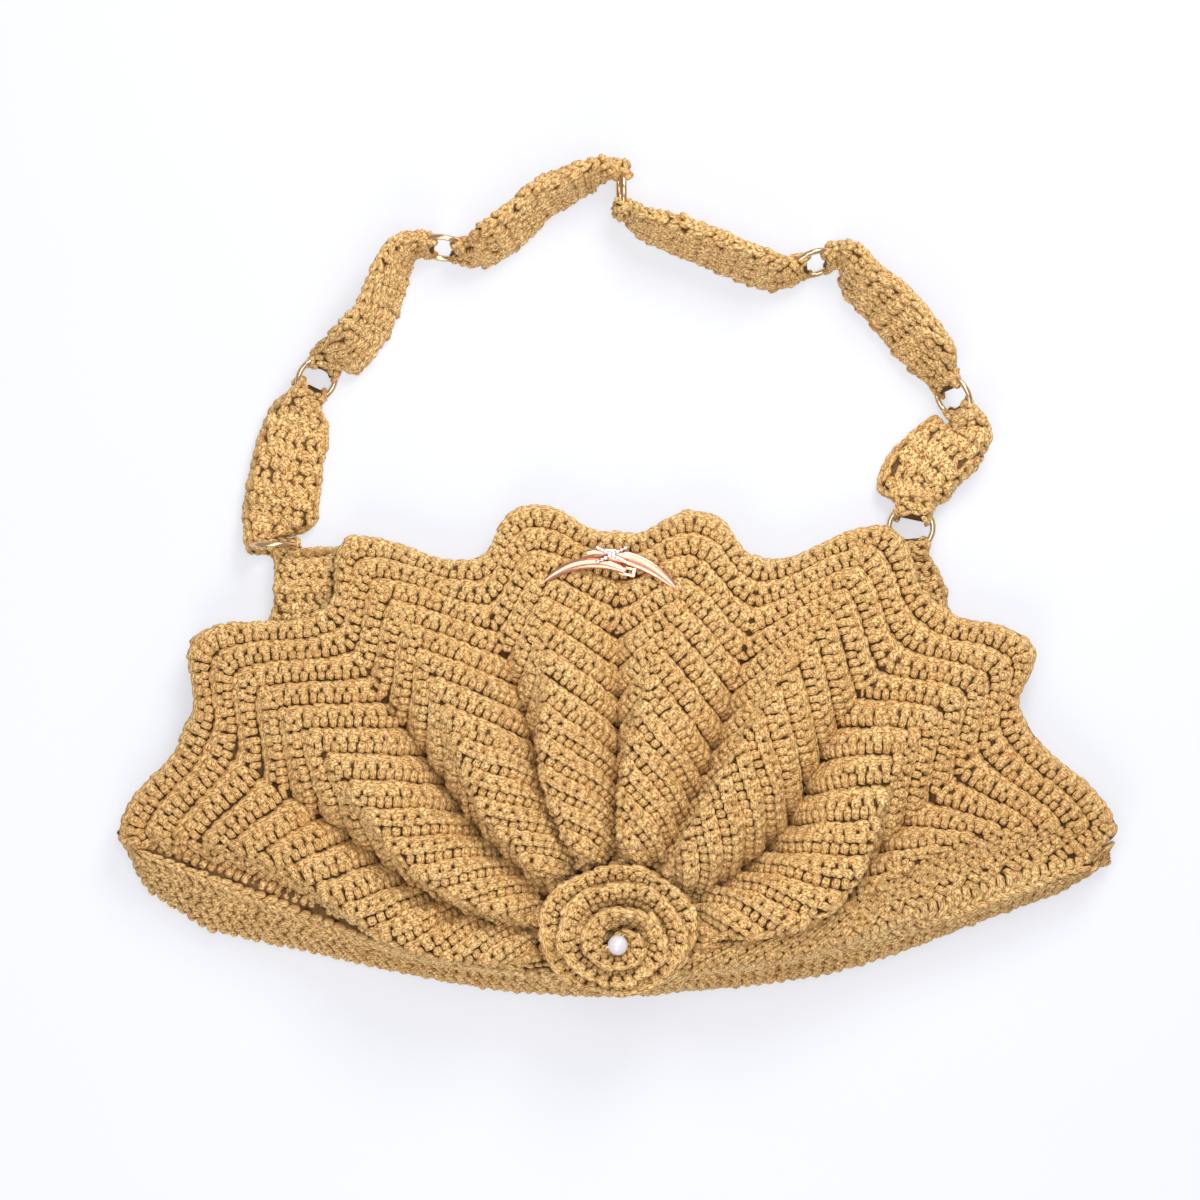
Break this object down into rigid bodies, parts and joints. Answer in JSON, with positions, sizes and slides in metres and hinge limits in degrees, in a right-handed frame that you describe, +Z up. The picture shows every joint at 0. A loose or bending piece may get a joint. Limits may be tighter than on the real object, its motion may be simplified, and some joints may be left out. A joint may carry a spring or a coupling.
{
  "type": "crocheted fan handbag",
  "caption": "Scalloped, ribbed crochet handbag whose pleats gather at a rolled rosette, with a ringed strap laid above it.",
  "frame": {"origin": "centre of the bounding box at the surface that the bag lies on", "axes": "+X across the fan from tip to tip, +Y from the rosette to the mouth and the strap, +Z up off the surface"},
  "size_m": [0.4034, 0.3354, 0.0552],
  "materials": {
    "golden_crochet": "braided rayon cord with a soft sheen",
    "pale_gold": "polished",
    "rose_gold": "polished",
    "pearl": "satin lustre"
  },
  "bodies": {
    "root": {"front_panel": "golden_crochet", "back_panel": "golden_crochet", "gusset": "golden_crochet", "left_tab": "golden_crochet", "right_tab": "golden_crochet", "rosette": "golden_crochet", "pearl": "pearl", "brooch": "rose_gold", "strap_band_1": "golden_crochet", "strap_band_2": "golden_crochet", "strap_band_3": "golden_crochet", "strap_band_4": "golden_crochet", "strap_band_5": "golden_crochet", "strap_band_6": "golden_crochet", "strap_ring_1": "pale_gold", "strap_ring_2": "pale_gold", "strap_ring_3": "pale_gold", "strap_ring_4": "pale_gold", "strap_ring_5": "pale_gold", "strap_ring_6": "pale_gold", "strap_ring_7": "pale_gold"}
  },
  "joints": []
}
